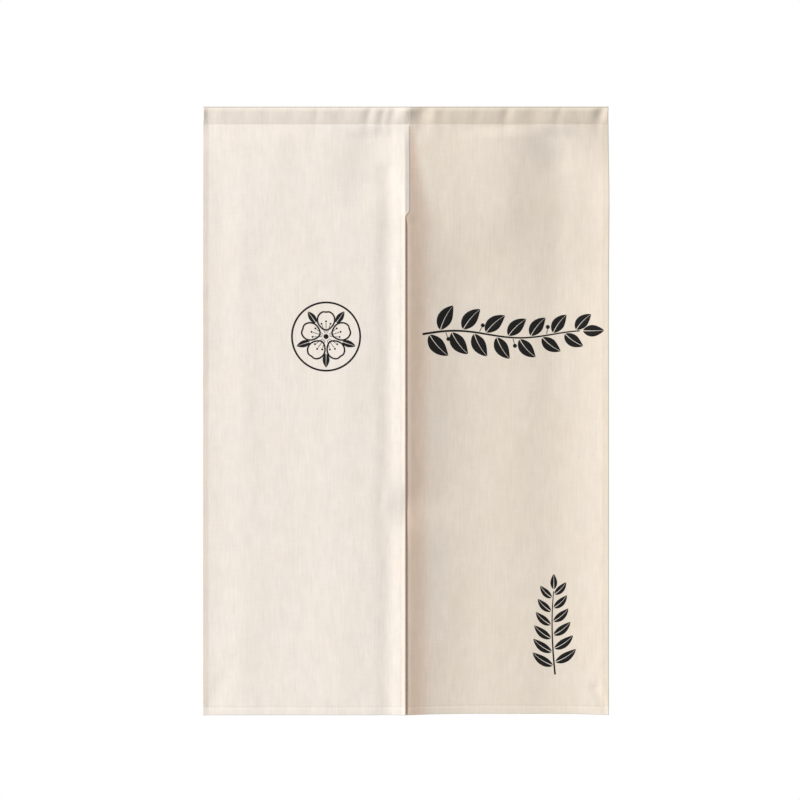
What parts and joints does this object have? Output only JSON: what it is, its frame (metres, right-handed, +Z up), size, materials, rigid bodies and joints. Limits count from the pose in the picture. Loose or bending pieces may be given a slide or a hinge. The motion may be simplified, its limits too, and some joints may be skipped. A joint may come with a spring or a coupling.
{
  "type": "door curtain",
  "caption": "Short cloth door curtain on a rod pocket, its hanging panels sewn together at the top and open below as a slit.",
  "frame": {"origin": "middle of the curtain's top edge, where the rod pocket's cloth turns to the back", "axes": "+Z up, +X to the right as seen from the front, the face of the curtain looks along -Y"},
  "size_m": [0.801, 0.0264, 1.2002],
  "materials": {
    "canvas": "matt woven cotton and linen, unbleached"
  },
  "bodies": {
    "root": {"left_panel": "canvas", "right_panel": "canvas", "left_rod_pocket": "canvas", "right_rod_pocket": "canvas"}
  },
  "joints": []
}
